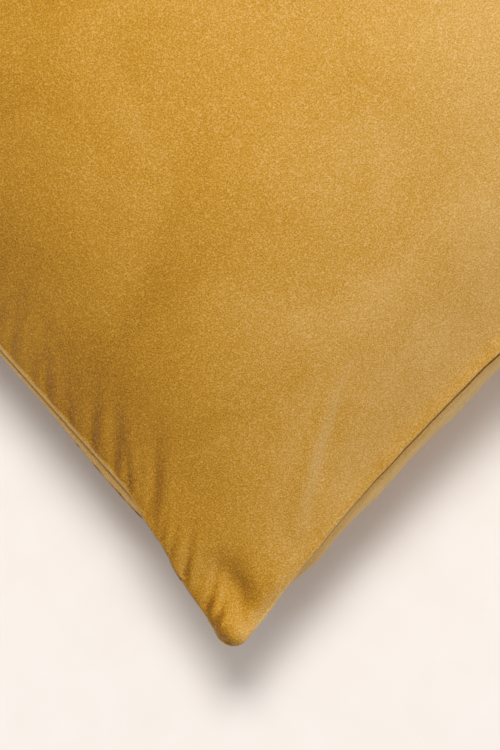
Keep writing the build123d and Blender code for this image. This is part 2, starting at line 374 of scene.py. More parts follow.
# %% Helpers for the cloth
def calmed(grid, start, nodes):
    """Beside the rolled seam the cloth is stretched smooth, so its folds are averaged along it."""
    gap, reach = grid - start, 12
    weights = np.exp(-0.5 * (np.arange(-reach, reach + 1) / 4.5) ** 2)
    wide = np.pad(gap, ((reach, reach), (0, 0), (0, 0)), mode="edge")
    even = sum(w * wide[i:i + len(gap)] for i, w in enumerate(weights)) / weights.sum()
    ends = smooth(np.minimum(nodes, 1 - nodes), 0.02, 0.12)
    share = ends[:, None] * smooth(nodes, 0.70, 0.90)[None, :]
    return grid + (even - gap) * share[..., None]


def sewn_bag(start, nodes):
    """Both panels as one closed mesh, with its sewn edge held and its cut shape as a shape key."""
    n = len(nodes)
    edge = edge_indices(n)
    points = np.concatenate([start[FRONT].reshape(-1, 3), start[BACK].reshape(-1, 3)])
    faces = np.concatenate([grid_faces(n, n), grid_faces(n, n, n * n, flip=True),
                            strip_faces(edge, edge + n * n)])
    bag = make_piece("bag", points, faces)
    bag.shape_key_add(name="start")
    rest = bag.shape_key_add(name="cut")
    flat = np.stack(np.meshgrid(2 * nodes - 1, 2 * nodes - 1), -1) * CUT_HALF
    flat = np.concatenate([np.dstack([flat, np.full((n, n), side * 2.0)]).reshape(-1, 3)
                           for side in (FRONT, BACK)])
    mixed = points + FLATNESS * (flat - points)
    rest.data.foreach_set("co", (mixed * MM).ravel())
    pinned = bag.vertex_groups.new(name="sewn")
    pinned.add(np.concatenate([edge, edge + n * n]).tolist(), 1.0, "REPLACE")
    return bag, points


print("the seam holds", len(edge_indices(SIM_CELLS + 1)), "points of each panel")

# %% Inflate the bag
def inflate():
    nodes = np.linspace(0, 1, SIM_CELLS + 1)
    start = start_panels(nodes)
    bag, points = sewn_bag(start, nodes)
    cloth = bag.modifiers.new("cloth", "CLOTH")
    for setting, value in CLOTH_SETTINGS.items():
        setattr(cloth.settings, setting, value)
    cloth.settings.vertex_group_mass = "sewn"
    cloth.settings.rest_shape_key = bag.data.shape_keys.key_blocks["cut"]
    cloth.settings.effector_weights.gravity = 0
    cloth.point_cache.frame_start, cloth.point_cache.frame_end = 1, SIM_FRAMES
    scene = bpy.context.scene
    for f in range(1, SIM_FRAMES + 1):
        scene.frame_set(f)
    done = bag.evaluated_get(bpy.context.evaluated_depsgraph_get())
    found = np.zeros(len(points) * 3, np.float32)
    done.data.vertices.foreach_get("co", found)
    found = found.reshape(2, len(nodes), len(nodes), 3).astype(float) / MM
    bpy.data.objects.remove(bag)
    scene.frame_set(1)
    moved = np.linalg.norm(found.reshape(-1, 3) - points, axis=1)
    found = [calmed(grid, start[side], nodes) for grid, side in zip(found, (FRONT, BACK))]
    print("cloth moved up to", round(float(moved.max()), 1), "mm, mean", round(float(moved.mean()), 2))
    print("top", round(float(found[0][..., 2].max()), 1),
          "bottom", round(float(found[1][..., 2].min()), 1))
    return {FRONT: found[0], BACK: found[1]}


simulated = inflate()

# %% [markdown]
# ## Finer panels
# The cloth was worked out on a mesh of about five millimetres, which is too coarse for puckers
# and folds. A smooth spline through its points gives the same surface on a finer grid, with
# closer rows near the seams, and its edge is put exactly on the seam again.

# %% Spline from the coarse grid to the fine one
FINE_CELLS = 200


def fine_nodes(cells, crowd=0.35):
    x = np.linspace(-1, 1, cells + 1)
    return (x + crowd * np.sin(math.pi * x) / math.pi + 1) / 2


def spline_matrix(count, at):
    """Natural cubic spline through count even nodes on 0 to 1, as a matrix that gives its values."""
    n, h = count - 1, 1 / (count - 1)
    system, right = np.eye(count), np.zeros((count, count))
    for i in range(1, n):
        system[i, i - 1:i + 2] = 1, 4, 1
        right[i, i - 1:i + 2] = np.array([1, -2, 1]) * 6 / h**2
    bend = np.linalg.solve(system, right)
    i = np.minimum((at / h).astype(int), n - 1)
    t = at / h - i
    eye = np.eye(count)
    a, b = 1 - t, t
    return (a[:, None] * eye[i] + b[:, None] * eye[i + 1]
            + ((a**3 - a)[:, None] * bend[i] + (b**3 - b)[:, None] * bend[i + 1]) * h**2 / 6)


def refine(coarse, nodes):
    m = spline_matrix(len(coarse), nodes)
    return np.einsum("ai,ijc,bj->abc", m, coarse, m, optimize=True)


def normals(grid, side):
    n = np.cross(np.gradient(grid, axis=1), np.gradient(grid, axis=0)) * side
    return n / np.maximum(np.linalg.norm(n, axis=2, keepdims=True), 1e-9)


nodes = fine_nodes(FINE_CELLS)
seam = whole_seam(nodes)
panels = {side: onto_edge(refine(simulated[side], nodes), grid_edge(seam, side), nodes, FINE_BLEND)
          for side in (FRONT, BACK)}
print("fine grid:", panels[FRONT].shape)

# %% [markdown]
# ## Puckers and soft folds
# A zip is stiffer than velvet and a little shorter, so the cloth eased onto it stands up in short
# puckers that run towards the middle of the pillow and fade out. The plain seams draw only a few
# weak ones. They are narrow valleys between soft ridges, each with its own place and length.

# %% Puckers
def pucker_field(nodes, k, seed, size, gap, slant):
    """Heights over the grid of the puckers that start at side k."""
    r = np.random.default_rng(seed)
    u, v = np.meshgrid(nodes, nodes)
    along, inward = [(u, v), (v, 1 - u), (1 - u, 1 - v), (1 - v, u)][k]
    along, inward = (along - 0.5) * SIDE_MM, inward * SIDE_MM
    total, place = np.zeros_like(u), -SIDE_MM / 2 + 12
    while place < SIDE_MM / 2 - 10:
        length, depth = r.uniform(8, 24), size * r.uniform(0.4, 1.0)
        lean = slant * -np.clip(place / 60, -1, 1) * r.uniform(0.6, 1.15)
        width = r.uniform(1.5, 2.6) + 0.09 * inward
        off = along - place - lean * inward
        rise = 0.7 + 0.3 * np.clip(inward / 4, 0, 1)
        ridge = np.exp(-((off - 1.9 * width) / (1.5 * width)) ** 2)
        valley = np.exp(-(off / width) ** 2) - 0.55 * ridge
        total -= depth * valley * rise * np.exp(-(inward / length) ** 1.7)
        place += gap * r.uniform(0.55, 1.5)
    return total


deepest = -pucker_field(nodes, 0, 21, 1, 12.5, 1).min()
print("a pucker beside the zip is up to", round(float(deepest), 2), "of its nominal depth")

# %% Lumps, the table and distances
def soft_field(nodes, seed, size, longest):
    """Broad low undulations, as lumps of filling leave under cloth."""
    r = np.random.default_rng(seed)
    u, v = np.meshgrid(nodes * SIDE_MM, nodes * SIDE_MM)
    total = np.zeros_like(u)
    for k in range(14):
        turn, long = r.uniform(0, math.pi), longest * r.uniform(0.45, 1.3)
        across = (u * math.cos(turn) + v * math.sin(turn)) / long
        total += np.sin(2 * math.pi * across + r.uniform(0, 6.28)) * long
    return size * total / longest / 3


SOFT_REST = 1.4


def rest_on_table(z):
    """Presses a bulge that would go through the table flat, with a soft turn."""
    return np.where(z < 8, SOFT_REST * np.log1p(np.exp(np.clip(z / SOFT_REST, -30, 30))), z)


def from_edge(nodes):
    t = np.minimum(nodes, 1 - nodes) * SIDE_MM
    return np.minimum(t[None, :], t[:, None])


def tip_distance(nodes, corner_u, corner_v):
    """Distances from a corner along its two sides, for each grid point."""
    u = nodes if corner_u < 0 else 1 - nodes
    v = nodes if corner_v < 0 else 1 - nodes
    return np.meshgrid(u * SIDE_MM, v * SIDE_MM)


print("a point 3 mm below the table is lifted to", round(float(rest_on_table(np.float64(-3))), 2))

# %% Corner heights
CORNER_SLANTS = {(1, -1): 0.5, (-1, -1): -0.3, (1, 1): 0.2, (-1, 1): -0.45}
EAR_LUMPS = [(4.6, 12, 7, 0, 13), (-4.4, 30, 9, 2, 15)]    # height, distance, reach, aside, width
EAR_CREASES = [(21, 1.5), (27.5, 1.2)]      # distance and depth, from the zip's side
FOLD_START, FOLD_WAY = (21, 79), (0.49, 0.87)


def ear_field(nodes, side):
    """The puffed ends of the corners, each pinched where its folded allowance fills it."""
    total = np.zeros((len(nodes), len(nodes)))
    strong = 1.0 if side == FRONT else 0.7
    for (cu, cv), slant in CORNER_SLANTS.items():
        du, dv = tip_distance(nodes, cu, cv)
        deep = (du + dv) / math.sqrt(2)             # towards the middle of the pillow
        wide = (du - dv) / math.sqrt(2)
        bent = deep - slant * wide
        for high, at, reach, aside, width in EAR_LUMPS:
            total += strong * high * np.exp(-((bent - at) / reach) ** 2 - ((wide - aside) / width) ** 2)
        dimple = np.exp(-((deep - 6.5) / 1.9) ** 2 - ((wide - 1.5) / 2.0) ** 2)
        total -= strong * 2.0 * dimple
        for at, depth in EAR_CREASES:
            total -= strong * depth * np.exp(-((du - at) / 1.6) ** 2 - (dv / 6.0) ** 2)
    return total


def corner_fold(nodes):
    """One soft fold that runs from beside the rolled seam towards the middle of the front."""
    du, dv = tip_distance(nodes, 1, -1)
    du, dv = du - FOLD_START[0], dv - FOLD_START[1]
    across = du * FOLD_WAY[1] - dv * FOLD_WAY[0]
    along = du * FOLD_WAY[0] + dv * FOLD_WAY[1]
    bend = np.exp(-((across - 3) / 5) ** 2) - np.exp(-((across + 5) / 5) ** 2)
    return 0.9 * bend * np.exp(-((along - 18) / 30) ** 2)


def rolled_field(nodes, side):
    """Along the rolled seam the front lies flatter and the back bulges out below it."""
    inward = (1 - nodes)[None, :] * SIDE_MM / 10
    bulge = inward * np.exp(1 - inward) * seam_side(1, nodes)["roll"][:, None]
    return bulge * (-2.6 if side == FRONT else -0.9)


print("corners stand up to", round(float(ear_field(nodes, FRONT).max()), 1), "mm")

# %% All the folds together
PUCKER = [(2.7, 12.5, 1.0), (0.4, 30.0, 0.5), (0.8, 22.0, 0.6), (0.6, 26.0, 0.6)]   # size, gap, slant


def relief(nodes, side):
    """How far a panel's folds stand out from the simulated cloth."""
    deep = from_edge(nodes)
    height = 0.45 * soft_field(nodes, 5 + side, 1.0, 150) * smooth(deep, 0, 70)
    for k, (size, gap, slant) in enumerate(PUCKER):
        share = 1 if side == FRONT else 0.6
        height += pucker_field(nodes, k, 20 + 7 * k + side, size, gap, slant) * share
    if side == FRONT:
        height += corner_fold(nodes)
    return (height + ear_field(nodes, side) + rolled_field(nodes, side)) * smooth(deep, -0.5, 2.6)


print("folds on the front: up to", round(float(np.abs(relief(nodes, FRONT)).max()), 1), "mm")

# %% Lay the folds on the panels
for side in (FRONT, BACK):
    grid = panels[side] + normals(panels[side], side) * relief(nodes, side)[..., None]
    if side == BACK:                                # it rests flat on the table
        grid[..., 2] = rest_on_table(grid[..., 2])
    panels[side] = grid
print("front top", round(float(panels[FRONT][..., 2].max()), 2),
      "back low", round(float(panels[BACK][..., 2].min()), 2))

# %% [markdown]
# ## Rolling the cloth into the seam
# At a sewn edge each panel turns in on a tight round fold, meets the other face to face, and ends
# in a hidden allowance. At the zip it turns back behind a narrow lip instead, and its allowance
# lies along the zip's tape. Both are the same strip of rings, whose section changes from one
# to the other where the zip ends. A bevelled edge would only look like a groove from outside.

# %% Sections of the turned-in edge, as distance in and distance up
PLAIN_TURN = [(0.0, 2.0), (-0.12, 1.55), (-0.08, 1.05), (0.2, 0.6), (0.65, 0.25), (1.25, 0.11),
              (1.9, 0.08), (3.0, 0.08), (5.0, 0.08), (8.0, 0.08), (11.0, 0.08), (13.2, 0.08),
              (13.2, 1.18), (9.0, 1.18), (5.0, 1.18), (2.6, 1.18)]
FRONT_LIP = [(2.2, 7.0), (1.75, 5.6), (1.3, 4.0), (1.0, 2.6), (0.95, 1.7), (1.2, 1.12), (1.7, 0.9),
             (2.2, 1.12), (2.4, 1.8), (2.4, 3.4), (2.4, 5.2), (13.2, 5.3), (13.2, 6.5), (9.0, 6.5),
             (6.0, 6.5), (4.0, 6.5)]
BACK_LIP = [(-1.3, 7.0), (-1.3, 5.6), (-1.15, 4.0), (-0.95, 2.6), (-0.85, 1.7), (-0.5, 1.12),
            (0.2, 0.9), (1.5, 0.95), (2.35, 1.8), (2.4, 3.4), (2.4, 5.2), (13.2, 5.3),
            (13.2, 6.5), (9.0, 6.5), (5.0, 6.5), (1.5, 6.5)]
PUFF_SHARES = (1.0, 0.6, 0.12, 0)           # how much of the puff or belly each step takes
NEST_SHARES = (1, 1, 1, 1, 0.9, 0.6, 0.25, 0)
ROOT = 2.5                                  # deeper than this the allowance is trimmed to its room
# painted sheen and painted shade on each step of a turned edge: the first tone where the turn is
# painted pale, the second where the seam's groove is painted dark
SEAM_PAINTED_SHEEN_AND_SHADE = [(0.95, -0.1), (1, -0.45), (1, -0.8), (0.9, -1), (0.7, -1), (0.4, -1)]
print("a turned edge has", len(PLAIN_TURN), "steps")

# %% Helpers for shells
def allowance_room(seam):
    """How wide the allowance is: it is trimmed at the corners."""
    return np.clip(0.62 * (seam["away"] + 7), 7.5, ALLOWANCE)


def turned_edge(seam, side):
    """One loop of points for each step of the section, from the panel's edge to its root."""
    plain, lip = np.array(PLAIN_TURN), np.array(FRONT_LIP if side == FRONT else BACK_LIP)
    squeeze = (allowance_room(seam) - ROOT) / (ALLOWANCE - ROOT)
    rings = []
    for i, (p, z) in enumerate(zip(plain, lip)):
        inward, up = (p + (z - p) * seam["zip"][:, None]).T
        inward = inward - seam["belly" if side == BACK else "puff"] * PUFF_SHARES[min(i, 3)]
        if side == BACK:
            inward = inward + seam["nest"] * NEST_SHARES[min(i, 7)]
        inward = np.where(inward > ROOT, ROOT + (inward - ROOT) * squeeze, inward)
        rings.append(seam["place"] - inward[:, None] * seam["out"] + side * up[:, None] * seam["up"])
    return rings


def shell(name, grid, rings, other, material, flip=False):
    """Two grids of one size, joined edge to edge by rings of points."""
    n = len(grid)
    edge, per = edge_indices(n), 4 * (n - 1)
    last = n * n + len(rings) * per
    loops = [edge, *(n * n + k * per + np.arange(per) for k in range(len(rings))), edge + last]
    faces = [grid_faces(n, n, 0, flip), grid_faces(n, n, last, not flip)]
    faces += [strip_faces(a, b, flip) for a, b in zip(loops, loops[1:])]
    points = np.concatenate([grid.reshape(-1, 3), *rings, other.reshape(-1, 3)])
    return make_piece(name, points, np.concatenate(faces), material)


print("allowance:", round(float(allowance_room(seam).min()), 1), "to", ALLOWANCE, "mm wide")

# %% A velvet panel with its turned edge
def velvet_shell(name, side, material):
    """A panel with its turned edge, marked with painted sheen on turns and painted shade in seams."""
    grid, n = panels[side], len(nodes)
    under = grid - CLOTH * normals(grid, side)
    piece = shell(name, grid, turned_edge(seam, side)[1:], under, material, flip=side == BACK)
    edge, per = edge_indices(n), 4 * (n - 1)
    # how much painted sheen each point of the seam takes: full along the zip's lip, less on plain
    # seams, none where the seam has rolled
    painted_sheen_share = np.maximum(1.1 * seam["zip"], 0.75 * (1 - smooth(seam["roll"], 0.02, 0.3)))
    fold = np.zeros(len(piece.data.vertices))       # above 0 a painted sheen on a turn, below 0 a painted shade deep in a seam
    if side == BACK:
        below = (1 - nodes) * SIDE_MM               # painted sheen on the strip that shows beside the rolled seam
        painted_sheen_strip = smooth(below, 2, 7) * (1 - smooth(below, 18, 36))
        rolled = smooth(seam_side(1, nodes)["roll"], 0, 0.4)
        # painted sheen: the back panel's strip beside the rolled seam is painted paler
        fold[:n * n] = 0.42 * (painted_sheen_strip[None, :] * rolled[:, None]).ravel()
    fold[edge] = 0.85 * painted_sheen_share
    # each step of the turn: painted sheen where it takes the pale share, painted shade in the groove
    # where it does not
    for k, (painted_light, deep) in enumerate(SEAM_PAINTED_SHEEN_AND_SHADE):
        fold[n * n + k * per:n * n + (k + 1) * per] = deep + (painted_light - deep) * painted_sheen_share
    piece.data.attributes.new("fold", "FLOAT", "POINT").data.foreach_set("value", fold)
    return piece


print("steps with a tone of their own:", len(SEAM_PAINTED_SHEEN_AND_SHADE))

# %% [markdown]
# ## Shared surface effects
# Velvet, tape, casing and thread all need a fine grain, and velvet and satin change tone with
# the way their surface faces, and velvet also gets a painted shade by facing. Each effect is a
# node group with its own inputs, built once.

# %% Small helpers for node trees
def put(n, **values):
    """Sets a node's own settings and its inputs by name, with _ for a space."""
    for key, value in values.items():
        if hasattr(n, key):
            setattr(n, key, value)
        else:
            n.inputs[key.replace("_", " ")].default_value = value
    return n


def node(tree, kind, **values):
    return put(tree.nodes.new(kind), **values)


def math_node(tree, operation, *values):
    """The answer of a Math node whose inputs are numbers or other nodes' outputs."""
    n = node(tree, "ShaderNodeMath", operation=operation)
    for socket, value in zip(n.inputs, values):
        if isinstance(value, (int, float)):
            socket.default_value = value
        else:
            tree.links.new(value, socket)
    return n.outputs[0]


def times(tree, a, b):
    return math_node(tree, "MULTIPLY", a, b)


def plus(tree, a, b):
    return math_node(tree, "ADD", a, b)


def new_group(name, inputs, outputs):
    group = bpy.data.node_groups.new(name, "ShaderNodeTree")
    for label, kind, value in inputs:
        socket = group.interface.new_socket(label, in_out="INPUT", socket_type=kind)
        if value is not None:
            socket.default_value = value
    for label, kind in outputs:
        group.interface.new_socket(label, in_out="OUTPUT", socket_type=kind)
    return group, group.nodes.new("NodeGroupInput"), group.nodes.new("NodeGroupOutput")


print("helpers: put, node, math_node, times, plus, new_group")

# %% Crinkled pile grain
FLOAT, VECTOR = "NodeSocketFloat", "NodeSocketVector"


def grain_group():
    """Fine crinkles at one size, broken up by a second, in object space."""
    g, start, end = new_group("pile_grain", [("Size mm", FLOAT, 1.6), ("Warp", FLOAT, 0.6)],
                              [("Height", FLOAT), ("Tone", FLOAT)])
    place = g.nodes.new("ShaderNodeTexCoord").outputs["Object"]
    scale = math_node(g, "DIVIDE", 1000.0, start.outputs["Size mm"])
    fine = node(g, "ShaderNodeTexNoise", Detail=2.0, Roughness=0.55)
    g.links.new(place, fine.inputs["Vector"])
    g.links.new(scale, fine.inputs["Scale"])
    g.links.new(start.outputs["Warp"], fine.inputs["Distortion"])
    cells = node(g, "ShaderNodeTexVoronoi", feature="SMOOTH_F1", Smoothness=0.6)
    g.links.new(place, cells.inputs["Vector"])
    g.links.new(times(g, scale, 0.8), cells.inputs["Scale"])
    both = plus(g, times(g, fine.outputs[0], 0.65), times(g, cells.outputs["Distance"], 0.5))
    g.links.new(both, end.inputs["Height"])
    tone = times(g, math_node(g, "SUBTRACT", both, 0.5), 2.0)
    g.links.new(tone, end.inputs["Tone"])
    return g


def make_painted_shade_and_patch_group():
    """How far the surface faces a direction, as a painted shade from -1 to 1; tone patches; a drift."""
    g, start, end = new_group("painted_facing_shade_with_patches", [("Direction", VECTOR, (0, 0, 1)), ("Patch mm", FLOAT, 60.0),
                                           ("Drift per m", VECTOR, (0, 0, 0))],
                              [("PaintedShade", FLOAT), ("Patch", FLOAT), ("Drift", FLOAT)])
    # the Lean output is a painted shade: the surface is painted lighter where it faces Direction
    facing = g.nodes.new("ShaderNodeNewGeometry").outputs["Normal"]
    place = g.nodes.new("ShaderNodeTexCoord").outputs["Object"]
    for vector, along, answer in ((facing, "Direction", "PaintedShade"), (place, "Drift per m", "Drift")):
        dot = node(g, "ShaderNodeVectorMath", operation="DOT_PRODUCT")
        g.links.new(vector, dot.inputs[0])
        g.links.new(start.outputs[along], dot.inputs[1])
        g.links.new(dot.outputs["Value"], end.inputs[answer])
    patch = node(g, "ShaderNodeTexNoise", Detail=3.0, Roughness=0.6, Distortion=0.8)
    g.links.new(place, patch.inputs["Vector"])
    g.links.new(math_node(g, "DIVIDE", 1000.0, start.outputs["Patch mm"]), patch.inputs["Scale"])
    g.links.new(math_node(g, "SUBTRACT", patch.outputs[0], 0.5), end.inputs["Patch"])
    return g


GRAIN, PATCHY_TONE_AND_PAINTED_SHADE = grain_group(), make_painted_shade_and_patch_group()
print("node groups:", [g.name for g in bpy.data.node_groups])

# %% [markdown]
# ## Velvet
# Velvet is dark where one looks down into its pile and pale where one looks across it, so its
# sheen does more than its colour. Its tone also drifts paler towards +Y. The base is a warm
# ochre, mixed between a painted shaded and a painted lit tone by how far the surface faces one
# side (a painted shade, as if lit from there), by random patches and by the grain. Its turned
# edges carry a painted sheen, and the groove of the rolled seam a painted shade.

# %% Helpers for materials
def placed(tree, group, **values):
    return node(tree, "ShaderNodeGroup", node_tree=group, **values)


def linear(*screen):
    """A colour given by its screen values, as the linear values that shaders use."""
    return (*(((c / 255 + 0.055) / 1.055) ** 2.4 if c > 10 else c / 255 / 12.92 for c in screen), 1.0)


def new_material(name):
    m = bpy.data.materials.new(name)
    m.use_nodes = True
    return m, m.node_tree, m.node_tree.nodes["Principled BSDF"]


def ramp(tree, factor, stops):
    """A colour from a factor; each stop is a position and a colour in screen values."""
    r = tree.nodes.new("ShaderNodeValToRGB")
    while len(r.color_ramp.elements) < len(stops):
        r.color_ramp.elements.new(0.5)
    for e, (at, colour) in zip(r.color_ramp.elements, stops):
        e.position, e.color = at, linear(*colour)
    tree.links.new(factor, r.inputs[0])
    return r.outputs[0]


def bump(tree, shader, height, distance_mm, strength=1.0):
    b = node(tree, "ShaderNodeBump", Strength=strength, Distance=distance_mm * MM)
    tree.links.new(height, b.inputs["Height"])
    tree.links.new(b.outputs[0], shader.inputs["Normal"])


print("mid ochre as linear values:", np.round(linear(202, 147, 46)[:3], 3))

# %% Build the velvet
# painted shade: surfaces facing this direction are painted towards the lit tone, as if lit from there;
# the tones run from a painted shaded ochre to a painted lit one
LAMP_SIDE_FOR_PAINTED_SHADE = (0.62, 0.50, 0.25)
VELVET_TONES_PAINTED_SHADE_TO_LIT = [(0.0, (134, 82, 4)), (0.5, (202, 147, 46)), (1.0, (236, 196, 128))]


def velvet_material():
    m, t, shader = new_material("golden_velvet")
    grain = placed(t, GRAIN, Size_mm=0.6, Warp=0.7)
    # the fold mark carries the painted sheen of the turns and the painted shade of the seams' grooves
    fold = node(t, "ShaderNodeAttribute", attribute_name="fold")
    # the drift makes the tone paler towards +Y and a little towards -X
    painted_shade_and_patches = placed(t, PATCHY_TONE_AND_PAINTED_SHADE, Direction=LAMP_SIDE_FOR_PAINTED_SHADE, Patch_mm=70.0, Drift_per_m=(-0.11, 0.39, 0.0))
    # painted shade by how far the surface faces the set direction
    lean = times(t, painted_shade_and_patches.outputs["PaintedShade"], 0.63)
    patch = times(t, painted_shade_and_patches.outputs["Patch"], 0.34)
    fine = times(t, grain.outputs["Tone"], 0.52)
    total = plus(t, plus(t, lean, patch), plus(t, fine, 0.34))
    # painted sheen on the turns and painted shade in the seams' grooves
    painted_light = times(t, fold.outputs["Fac"], 0.62)
    total = plus(t, plus(t, total, painted_shade_and_patches.outputs["Drift"]), painted_light)
    t.links.new(ramp(t, total, VELVET_TONES_PAINTED_SHADE_TO_LIT), shader.inputs["Base Color"])
    put(shader, Roughness=0.92, Specular_IOR_Level=0.15, Sheen_Weight=1.0, Sheen_Roughness=0.32,
        Sheen_Tint=linear(255, 226, 176))
    bump(t, shader, grain.outputs["Height"], 0.5, 1.0)
    return m


def on_cover(piece, slot, *stood_for):
    """The piece rides on the cover and stands for CAD nodes, which it hides; slot is not used."""
    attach(piece, "cover")
    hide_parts(*stood_for)


VELVET = velvet_material()
front = velvet_shell("velvet_front", FRONT, VELVET)
back = velvet_shell("velvet_back", BACK, VELVET)
on_cover(front, "velvet", "front_panel")
on_cover(back, "velvet", "back_panel")
print("panels:", len(front.data.vertices), len(back.data.vertices))

# %% [markdown]
# ## The insert
# Inside the cover is a softer cushion of its own: plain woven casing round fibre, a little
# smaller than the cover and sewn all round. It could be left out, but an open zip would show it
# and it is what holds the velvet up, so its skin is the cover's own shape moved inwards, closed
# by a rounded edge with a seam of its own.

# %% Build the insert
INSERT_GAP = 1.9        # from the velvet's outer face to the casing
INSERT_REACH = 0.064    # share of a side taken off all round, to clear the allowances
INSERT_EDGE = [(0.08, 0.5), (0.2, 0.9), (0.34, 1.1), (0.44, 0.9), (0.485, 0.4), (0.5, -0.4),
               (0.515, 0.4), (0.56, 0.9), (0.66, 1.1), (0.8, 0.9), (0.92, 0.5)]   # share down, out


def insert_skin(side):
    at = INSERT_REACH + (1 - 2 * INSERT_REACH) * fine_nodes(96)
    whole = refine(simulated[side], at)
    whole += normals(whole, side) * relief(at, side)[..., None]
    if side == BACK:
        whole[..., 2] = rest_on_table(whole[..., 2])
    gap = INSERT_GAP + 2.2 * (1 - smooth(from_edge(at), 15, 50))    # clear of the puckers' valleys
    return whole - gap[..., None] * normals(whole, side)


def edge_directions(loop):
    """Level directions outwards from an anticlockwise loop."""
    ahead = np.roll(loop, -2, 0) - np.roll(loop, 2, 0)
    out = np.column_stack([ahead[:, 1], -ahead[:, 0], np.zeros(len(loop))])
    return out / np.linalg.norm(out, axis=1, keepdims=True)


def build_insert(material):
    """The cushion, the loop of its own seam, and the directions outwards from it."""
    skins = {side: insert_skin(side) for side in (FRONT, BACK)}
    top, bottom = loop_of(skins[FRONT]), loop_of(skins[BACK])
    out = edge_directions((top + bottom) / 2)
    rings = [top + (bottom - top) * t + out * b for t, b in INSERT_EDGE]
    piece = shell("insert_cushion", skins[FRONT], rings, skins[BACK], material)
    return piece, rings[len(rings) // 2], out


print("the insert takes", round(1 - 2 * INSERT_REACH, 3), "of each side")

# %% [markdown]
# ## Threads
# A lockstitch is a row of short stitches that dip through the cloth, and an overlock is a thread
# wound round a cut edge. Both are one long tube that follows a path, so one helper makes all of
# them: it carries a small ring along the path and turns it with the path's direction.

# %% A tube along a path
def tube(path, radius, sides=5, closed=False):
    """The points and faces of a round thread that follows a path."""
    path = np.asarray(path, float)
    ahead = np.roll(path, -1, 0) - np.roll(path, 1, 0) if closed else np.gradient(path, axis=0)
    ahead /= np.maximum(np.linalg.norm(ahead, axis=1, keepdims=True), 1e-9)
    across = np.cross(ahead, [0.31, 0.17, 0.93])
    across /= np.maximum(np.linalg.norm(across, axis=1, keepdims=True), 1e-9)
    up = np.cross(across, ahead)
    turn = np.arange(sides) * 2 * math.pi / sides
    cos, sin = np.cos(turn)[None, :, None], np.sin(turn)[None, :, None]
    rings = path[:, None] + radius * (cos * across[:, None] + sin * up[:, None])
    count = len(path)
    i, j = np.meshgrid(np.arange(count if closed else count - 1), np.arange(sides), indexing="ij")
    a, b = i * sides + j, i * sides + (j + 1) % sides
    next_a, next_b = ((x + sides) % (count * sides) for x in (a, b))
    faces = np.stack([a, b, next_b, next_a], -1).reshape(-1, 4).tolist()
    if not closed:
        faces += [list(range(sides))[::-1], [(count - 1) * sides + k for k in range(sides)]]
    return rings.reshape(-1, 3), faces


def joined(name, tubes, material):
    """One piece from several tubes."""
    points, faces, start = [], [], 0
    for p, f in tubes:
        points.append(p)
        faces += [[v + start for v in q] for q in f]
        start += len(p)
    return make_piece(name, np.concatenate(points), faces, material)


print("a thread through 3 points has", len(tube([(0, 0, 0), (1, 0, 0), (2, 0, 0)], 0.2)[1]), "faces")

# %% Paths that follow the seam
STITCH = 2.8            # a stitch's length
OVERLOCK_PITCH = 2.4    # from one overlock loop to the next
PLAIN, ZIPPED = 0.001, 0.999    # below the one a seam is plain, above the other it is all zip


def dense_seam(step):
    """The seam all round at even steps, with its directions."""
    return whole_seam(np.linspace(0, 1, int(SIDE_MM / step) + 1))


def beside_seam(line, inward, up):
    """Points at a distance in from the seam and a height above it."""
    inward, up = (np.broadcast_to(x, len(line["zip"])) for x in (inward, up))
    return line["place"] - inward[:, None] * line["out"] + up[:, None] * line["up"]


def sewn_runs(path, keep):
    """Cuts a closed path into its kept stretches."""
    start = int(np.argmin(keep))
    path, keep = np.roll(path, -start, 0), np.roll(keep, -start)
    edges = np.flatnonzero(np.diff(keep.astype(int)))
    ends = np.append(edges[1::2], len(keep) - 1)
    return [path[a + 1:b + 1] for a, b in zip(edges[::2], ends)]


def lockstitch(name, side, material):
    """A row of stitches on one side of the plain seam: up from the cloth, along it, and back down."""
    line = dense_seam(STITCH / 4)
    phase = np.arange(len(line["zip"])) % 4
    up = side * (CLOTH + np.array([0.06, 0.26, 0.30, 0.26])[phase])
    runs = sewn_runs(beside_seam(line, 1.75, up), line["zip"] < PLAIN)
    return joined(name, [tube(run, 0.2) for run in runs], material)


def overlock(name, material, at_zip, centre, half):
    """Thread wound round a cut edge whose middle is at height centre and which is 2 half thick."""
    steps = 8
    line = dense_seam(OVERLOCK_PITCH / steps)
    turn = 2 * math.pi * np.arange(len(line["zip"])) / steps
    inward = allowance_room(line) - 0.55 + 0.95 * np.cos(turn)
    path = beside_seam(line, inward, centre + (half + 0.22) * np.sin(turn))
    runs = sewn_runs(path, line["zip"] > ZIPPED if at_zip else line["zip"] < PLAIN)
    return joined(name, [tube(run, 0.16, sides=4) for run in runs if len(run) > 3], material)


print("stitches round the seam:", len(dense_seam(STITCH)["zip"]))

# %% [markdown]
# ## Finishes of the small pieces
# Thread is a spun polyester with a slight shine along its twist, the tape a fine herringbone, the
# coil smooth nylon, the slider and its pull brushed metal coloured like brass, the label satin
# and the casing plain cotton.

# %% The weave as a group
def weave_group():
    """Over and under threads of a plain weave in object space, for height and tone."""
    g, start, end = new_group("weave", [("Thread mm", FLOAT, 0.5), ("Skew", FLOAT, 0.0)],
                              [("Height", FLOAT), ("Tone", FLOAT)])
    place = node(g, "ShaderNodeSeparateXYZ")
    g.links.new(g.nodes.new("ShaderNodeTexCoord").outputs["Object"], place.inputs[0])
    pitch = math_node(g, "DIVIDE", 1000.0 * math.pi, start.outputs["Thread mm"])
    skewed = times(g, place.outputs[1], start.outputs["Skew"])
    along = plus(g, place.outputs[0], skewed)
    across = plus(g, place.outputs[1], place.outputs[2])
    a = math_node(g, "SINE", times(g, along, pitch))
    b = math_node(g, "SINE", times(g, across, pitch))
    woven = times(g, a, b)
    g.links.new(times(g, plus(g, woven, 1.0), 0.5), end.inputs["Height"])
    g.links.new(woven, end.inputs["Tone"])
    return g


